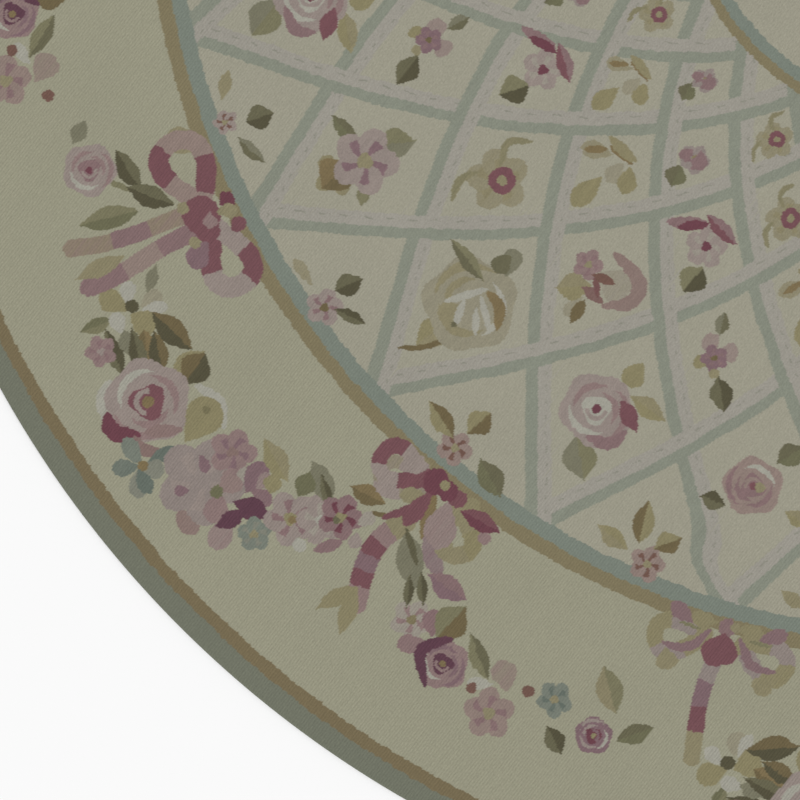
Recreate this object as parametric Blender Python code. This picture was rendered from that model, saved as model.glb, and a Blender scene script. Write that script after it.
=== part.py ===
"""A round, flat-woven oriental rug lying on a floor, metres, +Z up.

The rug is one thick cloth with no lining, fringe or sewn edge, so it is one
solid: a flat disc whose woven rim turns over in a small round, top and
underside alike. The origin is the middle of the underside, and +Y runs along
the ribs of the weave.
"""

import math

import bmesh
import bpy

DIAMETER = 2.44
THICKNESS = 0.004
RIM_ROUND = 0.0016
RIM_STEPS = 3
SIDES = 240
SMOOTH_BELOW = math.radians(40)

WOOL_COLOUR = (0.30, 0.285, 0.215, 1.0)
WOOL_ROUGHNESS = 0.92


def clear_scene():
    for item in list(bpy.data.objects):
        bpy.data.objects.remove(item, do_unlink=True)


def wool():
    """Matt wool in the cream of the rug's ground."""
    material = bpy.data.materials.new("cream_wool")
    material.use_nodes = True
    shader = material.node_tree.nodes["Principled BSDF"]
    shader.inputs["Base Color"].default_value = WOOL_COLOUR
    shader.inputs["Roughness"].default_value = WOOL_ROUGHNESS
    shader.inputs["Metallic"].default_value = 0.0
    return material


def rim_profile():
    """Radius and height along the rim, from the underside round to the top."""
    straight = DIAMETER / 2 - RIM_ROUND
    points = []
    for step in range(RIM_STEPS + 1):
        turn = math.pi / 2 * step / RIM_STEPS
        points.append((straight + RIM_ROUND * math.sin(turn), RIM_ROUND * (1 - math.cos(turn))))
    for step in range(RIM_STEPS + 1):
        turn = math.pi / 2 * step / RIM_STEPS
        height = THICKNESS - RIM_ROUND * (1 - math.sin(turn))
        points.append((straight + RIM_ROUND * math.cos(turn), height))
    return points


def rug():
    """The whole cloth: stacked rings round the rim, closed by a flat face above and below."""
    mesh = bmesh.new()
    rings = []
    for radius, height in rim_profile():
        ring = []
        for side in range(SIDES):
            angle = 2 * math.pi * side / SIDES
            ring.append(mesh.verts.new((radius * math.cos(angle), radius * math.sin(angle), height)))
        rings.append(ring)
    for lower, upper in zip(rings, rings[1:]):
        for side in range(SIDES):
            after = (side + 1) % SIDES
            mesh.faces.new((lower[side], lower[after], upper[after], upper[side]))
    mesh.faces.new(reversed(rings[0]))
    mesh.faces.new(rings[-1])
    data = bpy.data.meshes.new("rug")
    mesh.to_mesh(data)
    mesh.free()
    data.shade_smooth()
    data.set_sharp_from_angle(angle=SMOOTH_BELOW)
    data.materials.append(wool())
    cloth = bpy.data.objects.new("rug", data)
    bpy.context.scene.collection.objects.link(cloth)
    return cloth


clear_scene()
rug()
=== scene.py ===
import math

import bmesh
import bpy
import numpy as np
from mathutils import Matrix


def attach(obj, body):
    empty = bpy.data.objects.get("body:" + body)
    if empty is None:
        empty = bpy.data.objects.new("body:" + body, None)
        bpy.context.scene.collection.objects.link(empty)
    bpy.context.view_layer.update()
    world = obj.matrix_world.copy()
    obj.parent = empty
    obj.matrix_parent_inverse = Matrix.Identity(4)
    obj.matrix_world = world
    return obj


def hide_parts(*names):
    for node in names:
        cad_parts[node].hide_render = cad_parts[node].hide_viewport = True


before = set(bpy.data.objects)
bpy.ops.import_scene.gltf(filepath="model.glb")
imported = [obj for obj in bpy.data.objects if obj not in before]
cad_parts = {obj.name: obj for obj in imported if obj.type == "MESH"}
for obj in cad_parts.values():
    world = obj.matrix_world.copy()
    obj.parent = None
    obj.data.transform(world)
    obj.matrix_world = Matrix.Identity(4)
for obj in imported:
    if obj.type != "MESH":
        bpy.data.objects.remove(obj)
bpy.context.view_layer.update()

# the cloth: a round flat weave, its ribs along Y
cloth = {
    "radius": 1.22,
    "ribPitch": 0.003181,
    "rowStep": 0.0011,
    "relief": 0.0005,       # how far a rib stands above its valleys in the garland
    "wornRelief": 0.0002,   # and in the lattice, where the ribs lie flatter
    "shade": 0.085,         # painted shade and light: how much darker the valleys are painted than the crests in the garland
    # the same painted valley shade and crest light in the lattice, where the ribs lie flatter
    "wornShade": 0.03,
    "crest": 0.0041,
    "rimDrop": 0.0009,
    "rimTaper": 0.006,
    "edgeGap": 0.0004,      # the ribs end this far inside the rim
    "endGap": 0.0015,       # and their last kept row this far before their end
    "garland": 795,         # chart radius where the worn ribs begin
    "wearFade": 0.15,       # how far the change to worn ribs takes
    "underTop": 0.0033,
    "underInset": 0.03,
    "rimRound": 0.0015,
    "rimSteps": 4,
    "rimBlend": 1.4,
    "sharpFrom": 40.0,
    "mapMargin": 0.003,
    "sides": 480,
    "strips": 8,
    "longestRun": 48,  # rows between two points of a plain rib
    "leastBend": 0.014,  # the smallest change of colour that gets points of its own
    "seed": 7,
}
chartUnit = cloth["radius"] / 1076.2  # the chart counts in 1.13 mm steps from the rug's centre
chartTurn = 142.0  # where the chart's angles start, in degrees

# yarn colours as they look on the rug, in 0 to 255
yarns = {
    "cream": (153, 151, 130), "innerCream": (157, 154, 137), "paleBand": (155, 151, 141),
    "white": (161, 159, 147), "greyEdge": (114, 117, 102), "outerGold": (119, 107, 80),
    "innerGold": (128, 119, 91), "ringBlue": (122, 130, 119), "seaGreen": (134, 138, 124),
    "deepRose": (116, 78, 83), "magenta": (106, 64, 73), "plum": (93, 61, 73),
    "brick": (112, 84, 74), "mauve": (125, 101, 105), "rosePink": (131, 107, 107),
    "softPink": (138, 117, 114), "palePink": (146, 134, 127), "blush": (151, 144, 133),
    "lilac": (141, 130, 124), "salmon": (142, 125, 117), "coral": (130, 109, 103),
    "khaki": (137, 130, 102), "mustard": (136, 129, 97), "oldMustard": (119, 113, 84),
    "khakiGreen": (121, 118, 91), "ochre": (123, 108, 77), "brown": (108, 96, 68),
    "olive": (102, 99, 76), "darkOlive": (83, 79, 59), "green": (107, 106, 80),
    "greyGreen": (119, 117, 97), "teal": (100, 109, 100), "paleTeal": (118, 124, 113),
    "mistTeal": (127, 128, 115), "tan": (144, 139, 119),
}

# rings of the rug from the rim inwards: outer radius in chart steps, yarn
rings = [(1054.1, "outerGold"), (1040.9, "cream"), (795.2, "innerGold"), (780.9, "ringBlue"),
         (765.1, "innerCream")]

lattice = {
    "outer": 765.1,
    "inner": 268.0,
    "nodes": [12.3, 27.0, 42.7, 58.3, 74.0, 88.6, 103.2, 117.8],  # degrees, then again every third
    "slant": 44.5,
    "flare": 0.75,        # degrees that the lines open out by at the ring
    "flareDepth": 0.06,
    "tilt": 0.79,         # how much narrower a slanting line is across than round the ring
    "levelStep": 0.1755,  # depth between one row of crossings and the next
    "falling": 10.6,  # width of the stripes that fall to the right, and of those that rise
    "rising": 12.0,
    "pale": 13.0,
    "kinkNode": 74.0,
    "kinkRadius": 736,
    "kink": 1.4,
}

# Motifs: yarns, form, size in chart steps, then places as degree and radius. The forms are built by
# formula below, and their kinds, places, sizes and directions follow the photograph. Two yarns
# joined by + share the ribs, and a slash parts the yarns of one form.
bowOne = [
    ("softPink+khaki/rosePink/khaki+softPink", "tail", 17, 24.8, 830, 24.5, 880, 24.4, 910, 23.7, 950),
    ("rosePink/salmon/rosePink", "tail", 19, 26.0, 830, 26.1, 880, 26.4, 910, 26.3, 950),
    ("khaki", "leaf", 17, 25.5, 903, 25.5, 960),
    ("greyGreen", "leaf", 12, 26.9, 879, 28.2, 902),
    ("khaki", "petal", 28, 20.8, 786, 19.2, 822),
    ("salmon/deepRose", "loop", 20, 24.6, 812, 19.7, 817),
    ("palePink/deepRose", "loop", 20, 26.4, 812, 30.9, 816),
    ("mauve", "petal", 24, 27.0, 824, 28.1, 851),
    ("deepRose", "spot", 38, 25.2, 818),
    ("deepRose", "spot", 24, 26.4, 819),
    ("softPink", "petal", 15, 25.3, 809, 26.3, 817),
    ("magenta", "petal", 18, 25.2, 797, 24.8, 781),
    ("deepRose", "petal", 18, 26.3, 790, 27.5, 787),
    ("khaki", "petal", 15, 25.5, 804, 26.0, 783),
    ("khaki", "spot", 12, 24.3, 832),
    ("khaki", "spot", 12, 26.7, 836),
]
flowerOne = [
    ("greyGreen", "leaf", 15, 16.5, 892, 17.7, 911),
    ("khakiGreen", "line", 6, 20.5, 893, 21.7, 874),
    ("palePink/softPink/rosePink/magenta", "rose", 56, 19.6, 904),
    ("darkOlive/olive", "leaf", 20, 18.9, 873, 22.0, 864),
    ("darkOlive/olive", "leaf", 21, 21.4, 876, 23.9, 838),
    ("green/khakiGreen", "leaf", 22, 22.6, 934, 23.2, 871),
]
swagOneRose = [
    ("white", "petal", 16, 28.2, 924, 27.0, 912),
    ("tan", "petal", 20, 28.8, 914, 28.7, 888),
    ("white", "petal", 13, 29.0, 915, 29.6, 889),
    ("mustard", "petal", 24, 28.6, 927, 26.9, 944),
    ("mustard", "petal", 28, 28.9, 927, 30.5, 912),
    ("darkOlive", "spot", 14, 28.5, 921),
    ("green/khakiGreen", "leaf", 15, 28.7, 943, 28.4, 978),
    ("olive/darkOlive", "leaf", 17, 28.9, 955, 32.0, 964),
    ("softPink/rosePink/palePink", "bloom", 34, 30.0, 970),
    ("white", "petal", 16, 29.8, 942, 28.3, 941),
    ("greyGreen", "leaf", 15, 29.5, 939, 31.1, 948),
    ("brown/ochre", "leaf", 26, 30.1, 922, 32.6, 940),
    ("darkOlive/olive", "leaf", 16, 29.6, 932, 33.1, 949),
    ("darkOlive/brown", "leaf", 18, 30.5, 913, 33.1, 930),
    ("darkOlive/brown", "leaf", 24, 29.4, 906, 32.9, 891),
    ("mustard", "leaf", 19, 33.3, 924, 33.4, 881),
    ("brown/darkOlive", "leaf", 30, 33.5, 881, 34.4, 918),
    ("white", "line", 14, 31.8, 978, 32.4, 996, 33.6, 1002),
    ("palePink/softPink/deepRose/ochre", "rose", 90, 34.0, 957),
    ("magenta", "line", 17, 33.3, 998, 34.4, 1005, 35.3, 984),
    ("coral", "line", 12, 35.3, 988, 36.2, 990, 36.9, 974),
    ("coral+softPink", "line", 12, 35.4, 976, 36.0, 960, 36.5, 946),
    ("white", "line", 13, 34.9, 908, 36.5, 897, 38.0, 911),
    ("mustard", "petal", 38, 37.3, 950, 36.3, 900),
    ("oldMustard", "spot", 8, 36.5, 914),
    ("teal", "leaf", 13, 36.9, 994, 37.3, 954),
    ("mistTeal", "petal", 20, 36.9, 1000, 37.9, 984),
    ("mistTeal", "petal", 20, 36.8, 1000, 38.2, 1022),
    ("teal", "petal", 16, 36.8, 1003, 38.4, 1010),
    ("paleTeal", "petal", 18, 36.8, 998, 35.0, 998),
    ("teal+paleTeal", "petal", 18, 36.8, 1000, 36.0, 1025),
    ("ochre", "spot", 11, 36.9, 998),
]
swagOneSpray = [
    ("coral+salmon", "petal", 28, 41.0, 982, 41.1, 1009),
    ("lilac/palePink/lilac", "bloom", 92, 39.7, 962),
    ("mauve", "petal", 11, 39.7, 977, 39.2, 990),
    ("mauve", "petal", 12, 38.4, 947, 39.5, 951),
    ("softPink+palePink", "petal", 24, 42.5, 962, 43.1, 998),
    ("softPink", "petal", 25, 40.9, 955, 42.1, 980),
    ("softPink+salmon", "petal", 25, 40.9, 956, 40.9, 927),
    ("green", "spot", 13, 40.8, 957),
    ("softPink/mauve/coral", "bloom", 50, 39.6, 919),
    ("blush", "petal", 14, 40.7, 930, 41.4, 920),
    ("mauve", "petal", 24, 42.0, 936, 41.4, 901),
    ("softPink+palePink", "petal", 16, 42.3, 925, 42.3, 904),
    ("mauve+rosePink", "petal", 18, 42.1, 929, 43.6, 925),
    ("plum", "leaf", 17, 42.3, 982, 42.9, 948),
    ("plum", "leaf", 22, 41.8, 951, 44.2, 935),
    ("paleTeal/mistTeal/khaki", "bloom", 36, 44.2, 958),
    ("palePink/rosePink/mustard", "bloom", 58, 45.1, 921),
    ("white", "spot", 14, 46.6, 934),
    ("ochre", "spot", 8, 45.2, 921),
    ("palePink/blush/white", "bloom", 52, 46.5, 901),
    ("mustard/khaki", "leaf", 22, 40.1, 886, 43.3, 897),
    ("mustard", "leaf", 17, 42.3, 899, 43.1, 919),
    ("greyGreen", "leaf", 23, 43.3, 864, 46.4, 884),
    ("olive/darkOlive", "leaf", 10, 44.4, 868, 46.5, 887),
    ("green", "leaf", 20, 43.8, 874, 44.5, 900),
    ("rosePink/magenta/mustard", "bloom", 48, 47.3, 885),
    ("olive", "spot", 8, 47.2, 890),
    ("blush", "petal", 15, 48.4, 880, 48.9, 861),
    ("palePink", "petal", 14, 48.7, 886, 49.3, 900),
    ("rosePink", "line", 11, 47.5, 927, 48.4, 904),
    ("brown/ochre", "leaf", 19, 46.3, 857, 49.0, 845),
]
bowTwo = [
    ("khaki+innerGold", "petal", 18, 50.0, 792, 48.0, 793),
    ("lilac+khaki/palePink", "loop", 14, 50.2, 806, 47.2, 826),
    ("deepRose/palePink", "loop", 16, 50.0, 800, 46.4, 812),
    ("khaki", "petal", 16, 50.5, 812, 49.3, 830),
    ("khaki/softPink/deepRose/mauve/deepRose/softPink", "tail", 22, 50.7, 846, 50.1, 880,
     50.5, 905, 51.5, 940),
    ("khaki+mustard", "leaf", 15, 50.9, 926, 49.9, 971),
    ("khaki+mustard", "leaf", 17, 50.9, 926, 52.0, 977),
    ("greyGreen", "leaf", 26, 51.1, 850, 54.0, 898),
    ("darkOlive+olive", "line", 7, 51.1, 851, 53.1, 873),
    ("olive/darkOlive", "leaf", 10, 53.1, 884, 54.2, 915),
    ("olive/darkOlive", "leaf", 10, 53.6, 876, 55.0, 904),
    ("lilac+mauve", "petal", 17, 52.1, 846, 54.8, 869),
    ("mauve/rosePink", "leaf", 23, 54.0, 874, 57.1, 874),
    ("khaki/mustard", "loop", 18, 53.0, 806, 55.0, 842),
    ("ochre", "leaf", 13, 51.0, 802, 52.3, 852),
    ("softPink+palePink", "petal", 33, 52.2, 803, 53.4, 850),
    ("brown", "line", 5, 48.6, 861, 49.7, 853),
    ("deepRose", "line", 8, 49.4, 858, 50.1, 842, 50.6, 822),
    ("deepRose", "petal", 19, 50.8, 804, 50.8, 849),
    ("khaki+mustard", "spot", 18, 53.7, 794),
    ("softPink", "petal", 14, 55.4, 804, 56.0, 818),
    ("magenta/deepRose", "leaf", 19, 53.2, 803, 56.5, 799),
    ("deepRose", "spot", 18, 52.6, 796),
    ("magenta", "spot", 27, 50.6, 796),
    ("magenta", "spot", 20, 51.7, 796),
    ("khaki+mustard", "spot", 10, 51.3, 793),
]
swagTwoRose = [
    ("blush/softPink/khaki+brown", "bloom", 44, 54.9, 921),
    ("rosePink+softPink", "petal", 19, 56.4, 930, 55.1, 951),
    ("rosePink", "petal", 22, 56.5, 924, 55.7, 900),
    ("brown/khakiGreen", "leaf", 32, 56.8, 923, 57.3, 879),
    ("softPink/mauve/plum/ochre", "rose", 54, 58.0, 940),
    ("plum", "line", 12, 57.8, 968, 56.1, 941, 57.7, 914),
    ("khakiGreen/olive", "leaf", 18, 58.4, 899, 60.9, 932),
]
swagTwoPink = [
    ("white", "petal", 13, 61.3, 933, 59.8, 943),
    ("softPink+tan", "petal", 27, 62.3, 932, 61.0, 907),
    ("salmon/rosePink/khaki", "bloom", 54, 61.9, 960),
    ("brick", "spot", 11, 60.2, 947),
    ("brick", "spot", 12, 63.4, 922),
]
swagTwoSprig = [
    ("paleTeal/teal/khaki", "bloom", 38, 65.1, 918),
    ("khaki/khakiGreen", "leaf", 25, 67.1, 867, 69.0, 908),
    ("mauve/palePink/magenta/mustard", "rose", 40, 68.2, 936),
    ("green/olive", "leaf", 19, 69.6, 934, 71.6, 907),
    ("olive/darkOlive", "leaf", 19, 65.3, 944, 66.9, 966),
]
bowThreeHalf = [
    ("khaki+mustard/lilac", "loop", 17, 72.9, 803, 69.6, 822),
    ("khaki", "petal", 22, 70.6, 828, 71.2, 848),
    ("mauve+rosePink", "line", 9, 70.3, 824, 72.0, 824, 73.2, 798),
    ("khaki+mustard", "petal", 16, 73.6, 788, 71.6, 790),
    ("mauve+rosePink", "petal", 17, 71.9, 796, 69.9, 783),
    ("khakiGreen", "line", 4, 70.9, 799, 72.5, 799),
]
bowThreeKnot = [
    ("lilac/mauve/deepRose/khaki", "tail", 17, 74.0, 822, 73.8, 860, 74.1, 895, 74.4, 926),
    ("rosePink", "petal", 18, 74.4, 804, 74.3, 781),
    ("deepRose", "petal", 30, 74.3, 796, 73.7, 832),
    ("deepRose", "petal", 24, 74.3, 796, 74.9, 828),
    ("khaki", "spot", 10, 74.9, 789),
]
halfOne = [
    ("palePink/brick/khaki", "bloom", 26, 20.0, 760),
    ("olive/greyGreen", "leaf", 13, 21.4, 755, 24.0, 738),
    ("darkOlive/olive", "leaf", 24, 20.5, 742, 20.6, 711),
    ("khaki", "leaf", 13, 18.3, 756, 16.2, 741),
]
halfTwo = [
    ("tan+khaki", "petal", 12, 33.9, 756, 31.4, 757),
    ("palePink/rosePink/brown", "bloom", 40, 35.7, 758),
    ("darkOlive/olive", "leaf", 21, 35.1, 742, 35.6, 710),
    ("olive/darkOlive", "leaf", 13, 36.2, 752, 38.7, 735),
]
halfThree = [
    ("salmon/brick/khaki", "bloom", 38, 50.0, 758),
    ("brown/mustard", "leaf", 20, 49.5, 751, 46.1, 740),
    ("brown/mustard", "leaf", 24, 50.0, 739, 50.4, 707),
    ("green/olive", "leaf", 24, 52.0, 750, 55.0, 770),
]
halfFour = [
    ("salmon/brick/khaki", "bloom", 38, 67.3, 757),
    ("mustard/khaki", "leaf", 17, 65.6, 752, 62.5, 742),
    ("mustard/brown", "leaf", 21, 66.1, 742, 65.4, 698),
    ("brown/mustard", "leaf", 22, 67.3, 741, 69.0, 719),
]
cellRose = [
    ("greyGreen/khakiGreen", "leaf", 33, 57.3, 675, 59.8, 711),
    ("mustard/khaki", "leaf", 19, 59.5, 614, 63.7, 619),
    ("mustard", "petal", 24, 58.9, 578, 58.9, 607),
    ("palePink/softPink/white/magenta", "rose", 78, 57.6, 643),
    ("rosePink", "line", 12, 58.2, 671, 60.4, 667, 60.8, 648),
    ("deepRose", "leaf", 17, 59.0, 622, 61.8, 643),
]
cellTan = [
    ("mustard/khaki", "leaf", 28, 42.8, 671, 42.3, 709),
    ("brown", "line", 6, 41.6, 726, 43.3, 700, 43.9, 675),
    ("tan/khaki/tan/tan", "rose", 100, 42.9, 643),
    ("khaki", "petal", 24, 42.6, 650, 41.9, 676),
    ("white", "line", 8, 41.2, 660, 42.9, 621),
    ("white", "line", 8, 42.3, 646, 43.3, 668),
    ("white", "line", 7, 43.6, 642, 45.1, 662),
    ("white", "line", 7, 43.1, 630, 46.0, 650),
    ("ochre", "line", 11, 43.2, 623, 44.8, 620, 46.2, 641),
    ("olive", "spot", 6, 43.2, 669),
    ("olive/khakiGreen", "leaf", 15, 37.2, 616, 42.2, 617),
    ("greyGreen", "petal", 20, 43.3, 598, 41.9, 572),
    ("olive", "petal", 20, 42.1, 580, 42.2, 603),
]
cellPink = [
    ("mustard+khaki", "petal", 20, 26.8, 670, 25.4, 690),
    ("mustard+khaki", "petal", 18, 27.0, 670, 27.2, 703),
    ("khaki", "petal", 16, 27.2, 672, 28.8, 684),
    ("ochre/brown", "leaf", 36, 26.4, 661, 27.5, 699),
    ("green/olive", "leaf", 14, 22.1, 658, 25.6, 647),
    ("greyGreen/khakiGreen", "leaf", 28, 26.2, 633, 27.6, 592),
    ("khakiGreen", "leaf", 12, 28.9, 658, 30.3, 673),
    ("palePink/mauve/khaki", "bloom", 70, 27.1, 647),
]
cellRing = [
    ("khaki+tan/khaki/tan", "bloom", 66, 35.3, 543),
    ("deepRose", "spot", 28, 35.6, 540),
    ("khaki", "spot", 11, 35.6, 540),
    ("khakiGreen+khaki", "line", 8, 34.3, 592, 32.9, 574, 33.4, 556),
    ("khakiGreen+khaki", "line", 8, 34.0, 531, 32.2, 514, 33.9, 494),
]
cellBloom = [
    ("tan", "petal", 15, 50.4, 560, 49.9, 586),
    ("mustard/khaki", "leaf", 26, 47.4, 572, 50.3, 545),
    ("brown", "leaf", 12, 50.9, 590, 50.6, 560),
    ("tan+blush", "petal", 34, 50.0, 530, 53.8, 530),
    ("salmon+coral", "line", 15, 52.4, 554, 54.9, 536, 54.3, 511, 50.0, 506),
    ("brick+rosePink", "leaf", 11, 49.4, 553, 52.4, 552),
    ("brick+deepRose", "line", 6, 51.4, 551, 49.9, 536),
    ("softPink/rosePink/khaki", "bloom", 32, 48.5, 532),
    ("brick", "leaf", 10, 49.4, 536, 52.1, 530),
]
cellMauve = [
    ("olive/darkOlive", "leaf", 22, 66.4, 556, 68.4, 587),
    ("olive/greyGreen", "leaf", 14, 64.8, 520, 64.2, 495),
    ("mustard", "petal", 15, 65.0, 550, 63.4, 551),
    ("salmon+palePink", "petal", 20, 65.3, 534, 63.4, 525),
    ("salmon+palePink", "petal", 20, 65.5, 534, 67.4, 527),
    ("mauve/rosePink/brown", "bloom", 28, 65.3, 541),
    ("khaki", "spot", 10, 65.9, 556),
]
cellGold = [
    ("tan", "petal", 18, 43.0, 434, 43.3, 460),
    ("mustard", "petal", 22, 42.4, 460, 42.5, 501),
    ("ochre", "line", 7, 40.2, 433, 42.6, 429, 43.9, 429),
    ("khaki+tan", "petal", 17, 41.2, 436, 37.9, 457),
    ("mustard+khaki", "line", 11, 39.4, 428, 43.9, 425),
    ("mustard", "petal", 20, 44.0, 433, 46.0, 455),
    ("ochre", "line", 7, 38.5, 455, 40.2, 438),
]
cellFan = [
    ("lilac/rosePink/khaki+ochre", "bloom", 32, 49.9, 382),
    ("rosePink", "petal", 16, 49.5, 386, 51.9, 378),
    ("rosePink", "petal", 14, 49.5, 386, 47.6, 384),
    ("olive/green", "leaf", 21, 48.9, 396, 49.9, 419),
]
cellCrown = [
    ("khakiGreen/darkOlive", "leaf", 27, 59.3, 465, 58.7, 498),
    ("palePink/blush/magenta", "bloom", 44, 58.3, 447),
    ("rosePink", "line", 12, 52.4, 448, 54.6, 437, 56.4, 427),
    ("magenta", "line", 10, 53.9, 445, 56.9, 428),
    ("deepRose/rosePink", "leaf", 16, 56.0, 420, 61.7, 430),
]
cellOval = [
    ("olive/darkOlive", "leaf", 17, 69.0, 674, 71.4, 674),
    ("green/olive", "leaf", 22, 74.6, 620, 76.8, 596),
    ("mustard/khaki", "leaf", 15, 76.4, 664, 78.8, 672),
    ("salmon/rosePink/rosePink/deepRose", "rose", 62, 73.1, 648),
    ("khaki", "spot", 11, 73.7, 647),
]


def yarnColour(name):
    # the colour of one yarn by name, or of both that share the ribs
    parts = [yarns[part] for part in name.split("+")]
    return [np.array(part, dtype=np.float32) / 255.0 for part in parts]


def softNoise(shape, cell, seed):
    # smooth random values from -1 to 1, one per chart place
    dice = np.random.default_rng(seed)
    coarse = dice.uniform(-1, 1, (shape[0] // cell[0] + 3, shape[1] // cell[1] + 3))
    x = np.arange(shape[0]) / cell[0]
    y = np.arange(shape[1]) / cell[1]
    ix, iy = x.astype(int), y.astype(int)
    fx, fy = (x - ix)[:, None], (y - iy)[None, :]
    if cell[0] > 1:
        fx = fx * fx * (3 - 2 * fx)
    low = coarse[ix][:, iy] * (1 - fx) + coarse[ix + 1][:, iy] * fx
    high = coarse[ix][:, iy + 1] * (1 - fx) + coarse[ix + 1][:, iy + 1] * fx
    return (low * (1 - fy) + high * fy).astype(np.float32)


def startChart():
    # even columns lie in the valleys between the ribs, odd ones on their crests
    ribCount = int(round(2 * cloth["radius"] / cloth["ribPitch"]))
    rowCount = int(round(2 * cloth["radius"] / cloth["rowStep"])) + 1
    x = (np.arange(2 * ribCount + 1) - ribCount) * cloth["ribPitch"] / 2
    y = (np.arange(rowCount) - (rowCount - 1) / 2) * cloth["rowStep"]
    shape = (2 * ribCount + 1, rowCount)
    seed = cloth["seed"]
    # each rib is beaten up a little differently, so edges across the ribs have short teeth
    teeth = softNoise(shape, (2, 10), seed) * 1.25
    drawnX = (x / chartUnit)[:, None] + softNoise(shape, (12, 18), seed + 1) * 0.8
    drawnY = (y / chartUnit)[None, :] + softNoise(shape, (12, 18), seed + 2) * 0.8 + teeth
    return {
        "x": x, "y": y, "shape": shape,
        "drawnX": drawnX.astype(np.float32), "drawnY": drawnY.astype(np.float32),
        "colour": np.zeros(shape + (3,), dtype=np.float32),
        "streak": softNoise(shape, (2, 7), seed + 3),
    }


def lay(colour, mask, yarn, streak, depth=0.03):
    # works one yarn, or two by turns, into the chart where the mask says
    parts = yarnColour(yarn)
    if len(parts) == 2:
        share = (0.5 + 0.22 * streak)[..., None]
        tone = parts[0] * (1 - share) + parts[1] * share
    else:
        tone = parts[0] * (1 + depth * streak[..., None])
    mask = np.asarray(mask, dtype=np.float32)[..., None]
    return colour * (1 - mask) + tone * mask


def paintRings(chart):
    radius = np.hypot(chart["drawnX"], chart["drawnY"])
    angle = np.degrees(np.arctan2(chart["drawnY"], chart["drawnX"])) + chartTurn
    streak = chart["streak"]
    colour = chart["colour"] + yarnColour("greyEdge")[0]
    for outer, yarn in rings:
        colour = lay(colour, radius < outer, yarn, streak, 0.0)
    chart["colour"] = paintLattice(colour, radius, angle, streak)


def nearestNode(angle):
    nodes = np.array([node + turn for turn in (0, 120, 240) for node in lattice["nodes"]])
    nodes = np.concatenate([[nodes[-1] - 360], nodes, [nodes[0] + 360]])
    angle = np.mod(angle - nodes[0], 360) + nodes[0]
    after = np.clip(np.searchsorted(nodes, angle), 1, len(nodes) - 1)
    below, above = nodes[after - 1], nodes[after]
    return np.where(angle - below < above - angle, angle - below, angle - above)


def paintLattice(colour, radius, angle, streak):
    inside = (radius < lattice["outer"]) & (radius > lattice["inner"])
    depth = np.log(lattice["outer"] / np.maximum(radius, 60))
    flare = lattice["flare"] * np.exp(-np.maximum(depth, 0) / lattice["flareDepth"])
    lean = lattice["slant"] * depth + flare
    sideways = np.radians(radius) * lattice["tilt"]
    # one rising line in each third was woven with a kink near the ring
    fromKink = np.mod(angle + lean - lattice["kinkNode"] + 60, 120) - 60
    fromRing = radius - lattice["kinkRadius"]
    kink = lattice["kink"] * np.exp(-(fromRing / 24) ** 2 - (fromKink / 4) ** 2)
    falling = -nearestNode(angle - lean) * sideways  # distance from the line, plus towards the centre
    rising = nearestNode(angle + lean + kink) * sideways
    level = np.round(depth / lattice["levelStep"]).astype(int)
    fallsOver = (level % 2) == 1

    def band(offset, low, high):
        return (offset > low) & (offset < high) & inside

    def oneWay(colour, offset, half, along):
        # the pale side first, its slit stitches, then the stripe itself
        pale = half + lattice["pale"]
        colour = lay(colour, band(offset, 0, pale), "paleBand", streak, 0.01)
        stitches = band(offset, pale - 5.6, pale - 4.2) & (np.sin(along * 0.42 + streak) > 0.55)
        colour = lay(colour, stitches * 0.4, "greyEdge", streak, 0.0)
        return lay(colour, band(offset, -half, half), "seaGreen", streak, 0.025)

    fallingHalf, risingHalf = lattice["falling"] / 2, lattice["rising"] / 2
    under = np.where(fallsOver, rising, falling)
    over = np.where(fallsOver, falling, rising)
    underHalf = np.where(fallsOver, risingHalf, fallingHalf)
    overHalf = np.where(fallsOver, fallingHalf, risingHalf)
    for offset, half in ((under, underHalf), (over, overHalf)):
        colour = oneWay(colour, offset, half, radius + angle * 3)
    return colour


def roundedPath(points):
    # cuts the corners twice, so that a stroke bends softly
    points = np.array(points, dtype=float)
    for _ in range(2):
        before, after = points[:-1], points[1:]
        middle = np.stack([before * 0.75 + after * 0.25, before * 0.25 + after * 0.75], axis=1)
        points = np.concatenate([points[:1], middle.reshape(-1, 2), points[-1:]])
    return points


def distanceTo(path, x, y):
    # distance to a path, and how far along it that is, from 0 to 1
    best = np.full(x.shape, 1e9)
    along = np.zeros(x.shape)
    lengths = np.hypot(*(path[1:] - path[:-1]).T)
    total, done = max(lengths.sum(), 1e-6), 0.0
    for (ax, ay), (bx, by), length in zip(path, path[1:], lengths):
        dx, dy = bx - ax, by - ay
        share = np.clip(((x - ax) * dx + (y - ay) * dy) / max(length * length, 1e-9), 0, 1)
        gap = np.hypot(x - ax - share * dx, y - ay - share * dy)
        nearer = gap < best
        best = np.where(nearer, gap, best)
        along = np.where(nearer, (done + share * length) / total, along)
        done += length
    return best, along


def place(degrees, radius):
    turn = math.radians(degrees - chartTurn)
    return radius * math.cos(turn), radius * math.sin(turn)


def loopPath(knot, tip):
    # a ribbon's loop: out from the knot, round the tip and back, as wide as two thirds its length
    dx, dy = tip[0] - knot[0], tip[1] - knot[1]
    path = []
    for step in range(13):
        turn = step / 12
        out, over = math.sin(math.pi * turn), 0.34 * math.sin(2 * math.pi * turn)
        path.append((knot[0] + dx * out - dy * over, knot[1] + dy * out + dx * over))
    return path


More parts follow.
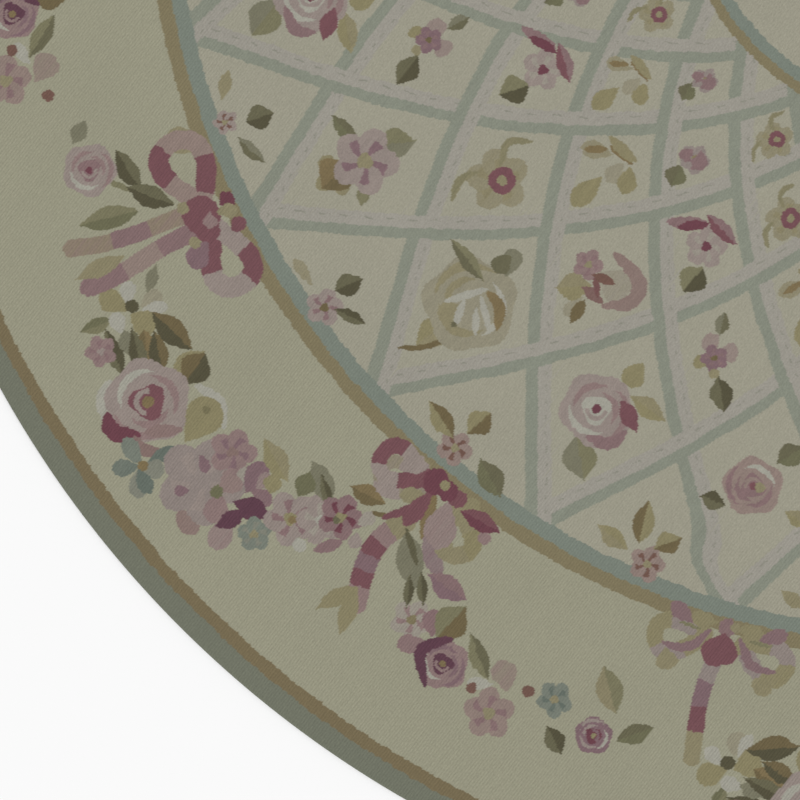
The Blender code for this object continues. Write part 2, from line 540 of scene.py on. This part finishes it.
def motifWindow(chart, points, reach):
    # the part of the chart that a form can touch
    pitch = cloth["ribPitch"] / 2 / chartUnit
    step = cloth["rowStep"] / chartUnit
    columns, rowCount = chart["shape"]
    xs, ys = zip(*points)
    first = max(int((min(xs) - reach) / pitch + (columns - 1) / 2), 0)
    last = min(int((max(xs) + reach) / pitch + (columns - 1) / 2) + 2, columns)
    firstRow = max(int((min(ys) - reach) / step + (rowCount - 1) / 2), 0)
    lastRow = min(int((max(ys) + reach) / step + (rowCount - 1) / 2) + 2, rowCount)
    return slice(first, last), slice(firstRow, lastRow)


def paintStroke(chart, window, names, form, size, points):
    # a stroke that swells in the middle, or a ribbon's even loop or tail in stretches of colour
    x, y = chart["drawnX"][window], chart["drawnY"][window]
    streak, colour = chart["streak"][window], chart["colour"][window]
    gap, along = distanceTo(roundedPath(points), x, y)
    width = size / 2
    if form == "line":
        width = width * (0.3 + 0.75 * np.sin(np.pi * np.clip(along, 0, 1)) ** 0.7)
    part = np.clip(along * len(names), 0, len(names) - 0.01).astype(int)
    if form == "loop":
        part = (np.sin(along * 4 * np.pi + 0.6) < -0.25).astype(int)
    for number, name in enumerate(names):
        colour = lay(colour, (gap < width) & (part == number), name, streak)
    chart["colour"][window] = colour


def paintLeaf(chart, window, names, form, size, points):
    # a leaf, or a blunter petal, from end to end, its right and left halves in a yarn each
    x, y = chart["drawnX"][window], chart["drawnY"][window]
    streak, colour = chart["streak"][window], chart["colour"][window]
    (startX, startY), (endX, endY) = points
    dx, dy = endX - startX, endY - startY
    length = math.hypot(dx, dy)
    dx, dy = dx / length, dy / length
    along = ((x - startX) * dx + (y - startY) * dy) / length
    across = (y - startY) * dx - (x - startX) * dy
    inside = np.clip(along, 0, 1)
    if form == "petal":
        width = size * 0.5 * np.abs(np.sin(np.pi * inside ** 1.5)) ** 0.6
    else:
        width = size * 0.54 * np.abs(np.sin(np.pi * inside)) ** 1.15
    mask = (np.abs(across) < width) & (along > 0) & (along < 1)
    right, left = (names * 2)[:2]
    colour = lay(colour, mask & (across >= 0), left, streak)
    chart["colour"][window] = lay(colour, mask & (across < 0), right, streak)


def paintSpot(chart, window, yarn, size, middle):
    gap = np.hypot(chart["drawnX"][window] - middle[0], chart["drawnY"][window] - middle[1])
    streak, colour = chart["streak"][window], chart["colour"][window]
    chart["colour"][window] = lay(colour, gap < size / 2, yarn, streak)


def paintFlower(chart, window, names, form, size, middle, turned):
    # a rose of curled petals round a heart and eye, or an open bloom of five shaded petals
    streak, colour = chart["streak"][window], chart["colour"][window]
    across = (chart["drawnX"][window] - middle[0]) * 2 / size
    up = (chart["drawnY"][window] - middle[1]) * 2 / size
    away, angle = np.hypot(across, up), np.arctan2(up, across) + turned
    if form == "bloom":
        petals = 0.70 + 0.28 * np.abs(np.cos(2.5 * angle))
        colour = lay(colour, away < petals, names[0], streak)
        colour = lay(colour, (away < 0.66) & (np.cos(5 * angle + 2.2 * away) > 0.35), names[1], streak)
        colour = lay(colour, away < 0.22 + 0.03 * np.cos(3 * angle), names[2], streak)
    else:
        colour = lay(colour, away < 0.93 + 0.06 * np.cos(5 * angle), names[0], streak)
        for ring, start, yarn in ((0.80, 0.4, names[1]), (0.64, 2.7, names[1]), (0.68, 4.6, "white"),
                                  (0.52, 0.9, names[1])):
            curl = np.mod(angle - start, 2 * math.pi)
            edge = np.abs(away - ring + 0.03 * curl)
            colour = lay(colour, (curl < 2.1) & (edge < 0.09 * np.sin(curl * 1.5)), yarn, streak)
        colour = lay(colour, away < 0.38 + 0.05 * np.cos(3 * angle), names[2], streak)
        colour = lay(colour, (away < 0.30) & (away > 0.19) & (np.cos(angle) > 0), names[0], streak)
        colour = lay(colour, away < 0.13, names[3], streak)
    chart["colour"][window] = colour


def paintMotif(chart, rows, turn=0.0, scale=1.0, mirror=None):
    # paints one group, moved round the rug and made larger or smaller with its radius
    for yarn, form, size, *numbers in rows:
        points = []
        for degrees, radius in zip(numbers[0::2], numbers[1::2]):
            if mirror is not None:
                degrees = 2 * mirror - degrees
            points.append(place(degrees + turn, radius * scale))
        size = size * scale
        if form == "loop":
            points = loopPath(points[0], points[1])
        window = motifWindow(chart, points, size + 5)
        names = yarn.split("/")
        if form in ("line", "loop", "tail"):
            paintStroke(chart, window, names, form, size, points)
        elif form in ("rose", "bloom"):
            paintFlower(chart, window, names, form, size, points[0], numbers[0])
        elif form == "spot":
            paintSpot(chart, window, yarn, size, points[0])
        else:
            sides = names if mirror is None else names[::-1]
            paintLeaf(chart, window, sides, form, size, points)


def paintGarland(chart):
    # five bows and five swags, and the same again in each third of the round
    for third in (0, 120, 240):
        for rows in (flowerOne, swagOneRose, swagOneSpray, bowOne,
                     swagTwoRose, swagTwoPink, swagTwoSprig, bowTwo, bowThreeHalf):
            paintMotif(chart, rows, third)
        paintMotif(chart, bowThreeHalf, third, mirror=74.3)
        paintMotif(chart, bowThreeKnot, third)
        for rows in (swagOneRose, swagOneSpray):
            paintMotif(chart, rows, third + 48.1)
        for rows in (swagTwoRose, swagTwoPink, swagTwoSprig[:1], bowTwo):
            paintMotif(chart, rows, third + 46.5)
        for rows in (flowerOne, bowOne):
            paintMotif(chart, rows, third + 96.0)
        for rows in (swagTwoRose, swagTwoPink):
            paintMotif(chart, rows, third + 71.0)


def paintCells(chart):
    # the flower of each lattice cell: degree and radius of the drawing, then of each place
    levels = {0.5: 745, 1: 645, 2: 541, 3: 452, 4: 383, 5: 319}
    cells = {
        "halfOne": (halfOne, 20.0, 745), "halfTwo": (halfTwo, 35.0, 745),
        "halfThree": (halfThree, 50.4, 745), "halfFour": (halfFour, 66.3, 745),
        "pink": (cellPink, 27.0, 645), "tan": (cellTan, 42.7, 645),
        "rose": (cellRose, 58.3, 645), "oval": (cellOval, 74.0, 645),
        "ring": (cellRing, 34.9, 541), "bloom": (cellBloom, 50.5, 541),
        "mauve": (cellMauve, 66.2, 541), "gold": (cellGold, 42.7, 452),
        "crown": (cellCrown, 58.3, 452), "fan": (cellFan, 50.5, 383),
    }
    nodes = lattice["nodes"] + [lattice["nodes"][0] + 120]
    between = [(a + b) / 2 for a, b in zip(nodes, nodes[1:])]
    rows = {
        0.5: (between, ["halfOne", "halfTwo", "halfThree", "halfFour"] * 2),
        1: (nodes[:8], ["rose", "pink", "tan", "rose", "oval", "tan", "pink", "rose"]),
        2: (between, ["mauve", "ring", "bloom", "mauve", "ring", "bloom", "mauve", "ring"]),
        3: (nodes[:8], ["crown", "crown", "gold", "crown", "gold", "crown", "gold", "gold"]),
        4: (between, ["fan", "gold", "fan", "ring", "fan", "gold", "fan", "ring"]),
        5: (nodes[:8], ["fan", "ring"] * 4),
    }
    for level, (places, names) in rows.items():
        for degrees, name in zip(places, names):
            drawing, fromDegrees, fromRadius = cells[name]
            for third in (0, 120, 240):
                paintMotif(chart, drawing, degrees - fromDegrees + third,
                           levels[level] / fromRadius)


def paintCentre(chart):
    # the hidden middle, finished plainly: a ringed field with one rosette
    radius = np.hypot(chart["drawnX"], chart["drawnY"])
    streak = chart["streak"]
    for outer, yarn in ((lattice["inner"], "innerGold"), (258, "ringBlue"),
                        (246, "innerCream")):
        chart["colour"] = lay(chart["colour"], radius < outer, yarn, streak, 0.0)
    for petal in range(8):
        middle = petal * 45.0
        paintMotif(chart, [("olive/greyGreen", "leaf", 30, middle + 22.5, 60, middle + 22.5, 165)])
    for petal in range(8):
        middle = petal * 45.0
        paintMotif(chart, [("rosePink+palePink", "petal", 70, middle, 20, middle, 135)])
        paintMotif(chart, [("deepRose", "line", 10, middle, 30, middle, 88)])
    paintMotif(chart, [("khaki", "spot", 54, 0, 0), ("ochre", "spot", 26, 0, 0)])


def keptPlaces(chart):
    # the rows that each half rib keeps: where its colour changes, and one every few rows between
    colour = chart["colour"]
    columns, rowCount = chart["shape"]
    bend = np.zeros(chart["shape"], dtype=np.float32)
    bend[:, 1:-1] = np.abs(colour[:, :-2] - 2 * colour[:, 1:-1] + colour[:, 2:]).max(axis=2)
    kept = np.maximum(bend[:-1], bend[1:]) > cloth["leastBend"]
    rowIndex = np.arange(rowCount)[None, :]
    start = np.random.default_rng(cloth["seed"] + 5).integers(0, cloth["longestRun"],
                                                              (columns - 1, 1))
    kept |= (rowIndex + start) % cloth["longestRun"] == 0
    fromRim = cloth["radius"] - np.hypot(chart["x"][:-1][:, None], chart["y"][None, :])
    for share in (0.3, 0.6, 1.0):
        kept |= np.abs(fromRim - share * cloth["rimTaper"]) < 0.0007
    kept[:, rowCount // 2] = True
    return kept


def toLinear(colour):
    colour = np.clip(colour, 0, 1)
    return np.where(colour <= 0.04045, colour / 12.92, ((colour + 0.055) / 1.055) ** 2.4)


def stripMesh(name, points, faces, colours):
    # open strips of four-sided faces, with a yarn colour at each point and the painted rib shade in
    # its alpha
    mesh = bpy.data.meshes.new(name)
    mesh.vertices.add(len(points))
    mesh.vertices.foreach_set("co", points.ravel())
    mesh.loops.add(faces.size)
    mesh.loops.foreach_set("vertex_index", faces.ravel().astype(np.int32))
    mesh.polygons.add(len(faces))
    mesh.polygons.foreach_set("loop_start", np.arange(0, faces.size, 4, dtype=np.int32))
    mesh.polygons.foreach_set("use_smooth", np.ones(len(faces), dtype=bool))
    mesh.update(calc_edges=True)
    layer = mesh.color_attributes.new("yarn", "FLOAT_COLOR", "POINT")
    layer.data.foreach_set("color", colours.ravel())
    return mesh


def mapStrip(mesh, corner, upper, left, right):
    # lays the two halves of the strip side by side, so that the map's dots are nearly square
    margin = cloth["mapMargin"]
    u = (corner[:, 0] - left) / (right - left) * (0.5 - 2 * margin) + margin + 0.5 * upper
    v = np.where(upper, corner[:, 1], corner[:, 1] + cloth["radius"]) / cloth["radius"]
    v = v * (1 - 2 * margin) + margin
    maps = mesh.uv_layers.new(name="OFBake")
    maps.data.foreach_set("uv", np.stack([u, v], axis=1).astype(np.float32).ravel())


def ribStrip(chart, kept, first, last, name, wool):
    # one width of the weave: every half rib is an open strip from its valley to its crest
    edge = cloth["radius"] - cloth["edgeGap"]
    garland = cloth["garland"] * chartUnit
    y = chart["y"]
    middleRow = chart["shape"][1] // 2
    points, colours, normals, faces, faceHalf = [], [], [], [], []
    count = 0
    for column in range(first, last):
        lines = chart["x"][column:column + 2]
        ends = np.sqrt(np.maximum(edge * edge - lines * lines, 1e-6))
        rows = np.nonzero(kept[column] & (np.abs(y) < ends.min() - cloth["endGap"]))[0]
        if len(rows) < 1:
            continue
        low, high = max(rows[0] - 1, 0), min(rows[-1] + 1, len(y) - 1)
        number = len(rows) + 2
        spots = np.zeros((number, 2, 3), dtype=np.float32)
        spots[:, :, 0] = lines
        spots[1:-1, :, 1] = y[rows][:, None]
        spots[0, :, 1], spots[-1, :, 1] = -ends, ends
        inward = (edge - np.hypot(spots[:, :, 0], spots[:, :, 1])) / cloth["rimTaper"]
        drop = cloth["rimDrop"] * (1 - np.clip(inward, 0, 1)) ** 2
        fromGarland = np.hypot(spots[:, 0, 0], spots[:, 0, 1]) - garland
        outer = np.clip(fromGarland / cloth["wearFade"] + 1, 0, 1)
        relief = cloth["wornRelief"] + (cloth["relief"] - cloth["wornRelief"]) * outer
        # painted shade: the valleys are painted darker and the crests lighter, more in the garland
        # than in the lattice
        paintedRibShade = cloth["wornShade"] + (cloth["shade"] - cloth["wornShade"]) * outer
        valley = column % 2
        spots[:, :, 2] = cloth["crest"] - drop
        spots[:, valley, 2] -= relief
        lean = np.zeros((number, 2, 3), dtype=np.float32)
        lean[:, :, 2] = 1
        lean[:, valley, 0] = (2 * valley - 1) * 2 * relief / cloth["ribPitch"]
        shade = np.ones((number, 2, 4), dtype=np.float32)
        picked = np.concatenate([[low], rows, [high]])
        shade[:, :, :3] = chart["linear"][column:column + 2, picked].transpose(1, 0, 2)
        # the alpha carries the painted shade: lighter on the crest, darker in the valley
        shade[:, 1 - valley, 3] = 0.5 + paintedRibShade / 2
        shade[:, valley, 3] = 0.5 - paintedRibShade / 2
        points.append(spots.reshape(-1, 3))
        normals.append(lean.reshape(-1, 3))
        colours.append(shade.reshape(-1, 4))
        base = count + 2 * np.arange(number - 1)[:, None]
        faces.append(base + np.array([0, 1, 3, 2])[None, :])
        faceHalf.append(np.concatenate([[False], rows >= middleRow]))
        count += 2 * number
    points, colours, normals = [np.concatenate(part) for part in (points, colours, normals)]
    faces, faceHalf = np.concatenate(faces), np.concatenate(faceHalf)
    mesh = stripMesh(name, points, faces, colours)
    mapStrip(mesh, points[faces.ravel()], np.repeat(faceHalf, 4), chart["x"][first],
             chart["x"][last])
    mesh.materials.append(wool)
    mesh.validate()
    normals /= np.linalg.norm(normals, axis=1, keepdims=True)
    mesh.normals_split_custom_set_from_vertices(normals.tolist())
    piece = bpy.data.objects.new(name, mesh)
    bpy.context.scene.collection.objects.link(piece)
    return piece


def makeUnderCloth(material):
    # the body of the cloth under its ribs, closed all round, with a softly turned rim
    mesh = bmesh.new()
    top, turn, radius = cloth["underTop"], cloth["rimRound"], cloth["radius"]
    steps, inset = cloth["rimSteps"], cloth["underInset"]
    profile = [(radius - inset, 0.0)]
    for step in range(steps + 1):
        angle = math.pi / 2 * step / steps
        profile.append((radius - turn + turn * math.sin(angle), turn * (1 - math.cos(angle))))
    for step in range(steps + 1):
        angle = math.pi / 2 * step / steps
        profile.append((radius - turn + turn * math.cos(angle), top - turn * (1 - math.sin(angle))))
    profile.append((radius - inset, top))
    sides = cloth["sides"]
    loops = []
    for reach, height in profile:
        loops.append([mesh.verts.new((reach * math.cos(2 * math.pi * side / sides),
                                      reach * math.sin(2 * math.pi * side / sides), height))
                      for side in range(sides)])
    for lower, upper in zip(loops, loops[1:]):
        for side in range(sides):
            after = (side + 1) % sides
            mesh.faces.new((lower[side], lower[after], upper[after], upper[side]))
    mesh.faces.new(reversed(loops[0]))
    mesh.faces.new(loops[-1])
    bmesh.ops.remove_doubles(mesh, verts=mesh.verts, dist=0.00001)
    bmesh.ops.recalc_face_normals(mesh, faces=mesh.faces)
    data = bpy.data.meshes.new("clothBody")
    mesh.to_mesh(data)
    mesh.free()
    data.shade_smooth()
    data.set_sharp_from_angle(angle=math.radians(cloth["sharpFrom"]))
    data.materials.append(material)
    piece = bpy.data.objects.new("clothBody", data)
    bpy.context.scene.collection.objects.link(piece)
    return piece


# what the yarn is like up close
woolLook = {
    "roughness": 0.93,
    "sheen": 0.08,
    "mottleScale": 9.0,
    "mottle": 0.016,
    "fibreScale": 560.0,
    "fibre": 0.10,
    # size of the patches where the painted rib shade comes and goes
    "paintedShadeBreakScale": 240.0,
    "nubScale": 330.0,
    "nubHeight": 0.0006,
    "turnPitch": 0.00125,
    "turnHeight": 0.00012,
}


def joined(tree, kind, settings=None, inputs=None):
    node = tree.nodes.new(kind)
    for name, value in (settings or {}).items():
        setattr(node, name, value)
    for name, value in (inputs or {}).items():
        if isinstance(value, bpy.types.NodeSocket):
            tree.links.new(value, node.inputs[name])
        else:
            node.inputs[name].default_value = value
    return node


def makeYarnGroup():
    # turns a plain colour into spun wool: fibre flecks, slow changes of dye, and its height
    group = bpy.data.node_groups.new("spunWool", "ShaderNodeTree")
    group.interface.new_socket("Dye", in_out="INPUT", socket_type="NodeSocketColor")
    group.interface.new_socket("Colour", in_out="OUTPUT", socket_type="NodeSocketColor")
    group.interface.new_socket("Height", in_out="OUTPUT", socket_type="NodeSocketFloat")
    start = group.nodes.new("NodeGroupInput")
    end = group.nodes.new("NodeGroupOutput")
    where = group.nodes.new("ShaderNodeTexCoord").outputs["Object"]
    slow = joined(group, "ShaderNodeTexNoise", None,
                  {"Vector": where, "Scale": woolLook["mottleScale"], "Detail": 3.0})
    slowTone = joined(group, "ShaderNodeMapRange", None,
                      {"Value": slow.outputs["Fac"], "From Min": 0.3, "From Max": 0.7,
                       "To Min": 1 - woolLook["mottle"], "To Max": 1 + woolLook["mottle"]})
    stretched = joined(group, "ShaderNodeMapping", None, {"Vector": where, "Scale": (1.0, 0.7, 1.0)})
    fine = joined(group, "ShaderNodeTexNoise", None,
                  {"Vector": stretched.outputs["Vector"], "Scale": woolLook["fibreScale"],
                   "Detail": 2.0})
    fineTone = joined(group, "ShaderNodeMapRange", None,
                      {"Value": fine.outputs["Fac"], "From Min": 0.25, "From Max": 0.75,
                       "To Min": 1 - woolLook["fibre"], "To Max": 1 + woolLook["fibre"]})
    tone = joined(group, "ShaderNodeMath", {"operation": "MULTIPLY"},
                  {0: slowTone.outputs["Result"], 1: fineTone.outputs["Result"]})
    dyed = joined(group, "ShaderNodeVectorMath", {"operation": "SCALE"},
                  {0: start.outputs["Dye"], "Scale": tone.outputs[0]})
    group.links.new(dyed.outputs[0], end.inputs["Colour"])
    nubs = joined(group, "ShaderNodeTexNoise", None,
                  {"Vector": where, "Scale": woolLook["nubScale"], "Detail": 1.0})
    parts = joined(group, "ShaderNodeSeparateXYZ", None, {"Vector": where})
    phase = joined(group, "ShaderNodeMath", {"operation": "MULTIPLY"},
                   {0: parts.outputs["Y"], 1: 2 * math.pi / woolLook["turnPitch"]})
    turns = joined(group, "ShaderNodeMath", {"operation": "SINE"}, {0: phase.outputs[0]})
    turnHeight = joined(group, "ShaderNodeMath", {"operation": "MULTIPLY"},
                        {0: turns.outputs[0], 1: woolLook["turnHeight"]})
    height = joined(group, "ShaderNodeMath", {"operation": "MULTIPLY_ADD"},
                    {0: nubs.outputs["Fac"], 1: woolLook["nubHeight"], 2: turnHeight.outputs[0]})
    group.links.new(height.outputs[0], end.inputs["Height"])
    return group


def makeWool(yarnGroup):
    material = bpy.data.materials.new("dyedWool")
    material.use_nodes = True
    tree = material.node_tree
    shader = tree.nodes["Principled BSDF"]
    shader.inputs["Roughness"].default_value = woolLook["roughness"]
    shader.inputs["Sheen Weight"].default_value = woolLook["sheen"]
    shader.inputs["Sheen Roughness"].default_value = 0.6
    shader.inputs["Specular IOR Level"].default_value = 0.15
    dye = joined(tree, "ShaderNodeAttribute", {"attribute_name": "yarn"})
    # the painted shade of the valleys, and painted light on the crests, comes and goes along the ribs
    where = joined(tree, "ShaderNodeTexCoord").outputs["Object"]
    breaks = joined(tree, "ShaderNodeTexNoise", None,
                    {"Vector": where, "Scale": woolLook["paintedShadeBreakScale"], "Detail": 1.0})
    strength = joined(tree, "ShaderNodeMapRange", None,
                      {"Value": breaks.outputs["Fac"], "From Min": 0.35, "From Max": 0.65,
                       "To Min": 0.1, "To Max": 1.9})
    paintedRibShade = joined(tree, "ShaderNodeMath", {"operation": "SUBTRACT"},
                  {0: dye.outputs["Alpha"], 1: 0.5})
    crest = joined(tree, "ShaderNodeMath", {"operation": "MULTIPLY_ADD"},
                   {0: paintedRibShade.outputs[0], 1: strength.outputs["Result"], 2: 1.0})
    shaded = joined(tree, "ShaderNodeVectorMath", {"operation": "SCALE"},
                    {0: dye.outputs["Color"], "Scale": crest.outputs[0]})
    spun = tree.nodes.new("ShaderNodeGroup")
    spun.node_tree = yarnGroup
    tree.links.new(shaded.outputs[0], spun.inputs["Dye"])
    tree.links.new(spun.outputs["Colour"], shader.inputs["Base Color"])
    bump = joined(tree, "ShaderNodeBump", None,
                  {"Height": spun.outputs["Height"], "Distance": 1.0, "Strength": 0.8})
    tree.links.new(bump.outputs["Normal"], shader.inputs["Normal"])
    return material


def makeUnderWool(yarnGroup):
    # the plain back: cream wool with the same ribs in low relief, grey where the rim turns
    material = bpy.data.materials.new("creamBack")
    material.use_nodes = True
    tree = material.node_tree
    shader = tree.nodes["Principled BSDF"]
    shader.inputs["Roughness"].default_value = woolLook["roughness"]
    shader.inputs["Specular IOR Level"].default_value = 0.15
    where = joined(tree, "ShaderNodeTexCoord").outputs["Object"]
    flat = joined(tree, "ShaderNodeVectorMath", {"operation": "MULTIPLY"},
                  {0: where, 1: (1.0, 1.0, 0.0)})
    out = joined(tree, "ShaderNodeVectorMath", {"operation": "LENGTH"}, {0: flat.outputs[0]})
    rim = joined(tree, "ShaderNodeMapRange", None,
                 {"Value": out.outputs["Value"], "From Min": rings[0][0] * chartUnit,
                  "From Max": (rings[0][0] + cloth["rimBlend"]) * chartUnit})
    dye = joined(tree, "ShaderNodeMix", {"data_type": "RGBA"}, {"Factor": rim.outputs["Result"]})
    dye.inputs["A"].default_value = tuple(toLinear(yarnColour("cream")[0])) + (1.0,)
    dye.inputs["B"].default_value = tuple(toLinear(yarnColour("greyEdge")[0])) + (1.0,)
    spun = tree.nodes.new("ShaderNodeGroup")
    spun.node_tree = yarnGroup
    tree.links.new(dye.outputs["Result"], spun.inputs["Dye"])
    tree.links.new(spun.outputs["Colour"], shader.inputs["Base Color"])
    parts = joined(tree, "ShaderNodeSeparateXYZ", None, {"Vector": where})
    phase = joined(tree, "ShaderNodeMath", {"operation": "MULTIPLY"},
                   {0: parts.outputs["X"], 1: 2 * math.pi / cloth["ribPitch"]})
    ribs = joined(tree, "ShaderNodeMath", {"operation": "SINE"}, {0: phase.outputs[0]})
    height = joined(tree, "ShaderNodeMath", {"operation": "MULTIPLY_ADD"},
                    {0: ribs.outputs[0], 1: 0.0003, 2: spun.outputs["Height"]})
    bump = joined(tree, "ShaderNodeBump", None,
                  {"Height": height.outputs[0], "Distance": 1.0, "Strength": 0.8})
    tree.links.new(bump.outputs["Normal"], shader.inputs["Normal"])
    return material


# the camera's place over the rug, as in the photograph, and the light
studio = {
    "middle": (-0.1111, -0.8542),
    "width": 0.9069,
    "turn": 38.0,
    "lens": 85.0,
    "floor": 0.955,
    "ambient": 0.6,
    "sun": 1.70,
    "sunWidth": 35.0,
    "sunLean": 42.0,
}


def makeCamera():
    data = bpy.data.cameras.new("overhead")
    data.lens = studio["lens"]
    data.sensor_width = 36.0
    camera = bpy.data.objects.new("overhead", data)
    height = studio["width"] * studio["lens"] / 36.0
    camera.location = (studio["middle"][0], studio["middle"][1], cloth["crest"] + height)
    camera.rotation_euler = (0.0, 0.0, math.radians(studio["turn"]))
    data.clip_start = 0.05
    data.clip_end = 50.0
    bpy.context.scene.collection.objects.link(camera)
    bpy.context.scene.camera = camera


def makeStudio():
    scene = bpy.context.scene
    scene.view_settings.view_transform = "Standard"
    world = bpy.data.worlds.new("studio")
    world.use_nodes = True
    sky = world.node_tree.nodes["Background"]
    sky.inputs["Color"].default_value = (1.0, 1.0, 1.0, 1.0)
    sky.inputs["Strength"].default_value = studio["ambient"]
    scene.world = world
    # one broad light from the photograph's upper left
    data = bpy.data.lights.new("windowLight", "SUN")
    data.angle = math.radians(studio["sunWidth"])
    data.energy = studio["sun"]
    light = bpy.data.objects.new("windowLight", data)
    light.location = (-1.0, 0.5, 2.0)
    light.rotation_euler = (math.radians(studio["sunLean"]), 0.0,
                            math.radians(studio["turn"] + 45.0))
    scene.collection.objects.link(light)
    bpy.ops.object.select_all(action="DESELECT")
    bpy.ops.mesh.primitive_plane_add(size=14.0, location=(0.0, 0.0, -0.0005))
    floor = bpy.context.active_object
    floor.name = "paleFloor"
    paint = bpy.data.materials.new("paleFloor")
    paint.use_nodes = True
    shader = paint.node_tree.nodes["Principled BSDF"]
    pale = studio["floor"]
    shader.inputs["Base Color"].default_value = (pale, pale, pale, 1.0)
    shader.inputs["Roughness"].default_value = 1.0
    shader.inputs["Specular IOR Level"].default_value = 0.0
    floor.data.materials.append(paint)


print("charting the pattern")
chart = startChart()
paintRings(chart)
paintCells(chart)
paintCentre(chart)
paintGarland(chart)
kept = keptPlaces(chart)
tone = 1 + 0.007 * softNoise(chart["shape"], (2, 60), 31)
chart["linear"] = toLinear(chart["colour"] * tone[..., None]).astype(np.float32)
print("points kept along the ribs:", int(kept.sum()))

print("weaving the ribs")
yarnGroup = makeYarnGroup()
wool = makeWool(yarnGroup)
inCircle = np.hypot(chart["x"][:-1][:, None], chart["y"][None, :]) < cloth["radius"]
share = np.cumsum((kept & inCircle).sum(axis=1))
breaks = [0] + [int(np.searchsorted(share, share[-1] * part / cloth["strips"]))
                for part in range(1, cloth["strips"])] + [len(share)]
widths = []
for part in range(cloth["strips"]):
    piece = ribStrip(chart, kept, breaks[part], breaks[part + 1], f"ribs{part + 1}", wool)
    widths.append(piece)
    print(piece.name, 2 * len(piece.data.polygons), "triangles")
body = makeUnderCloth(makeUnderWool(yarnGroup))

print("camera and light")
makeCamera()
makeStudio()

for piece in widths + [body]:
    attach(piece, "root")
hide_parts("rug")
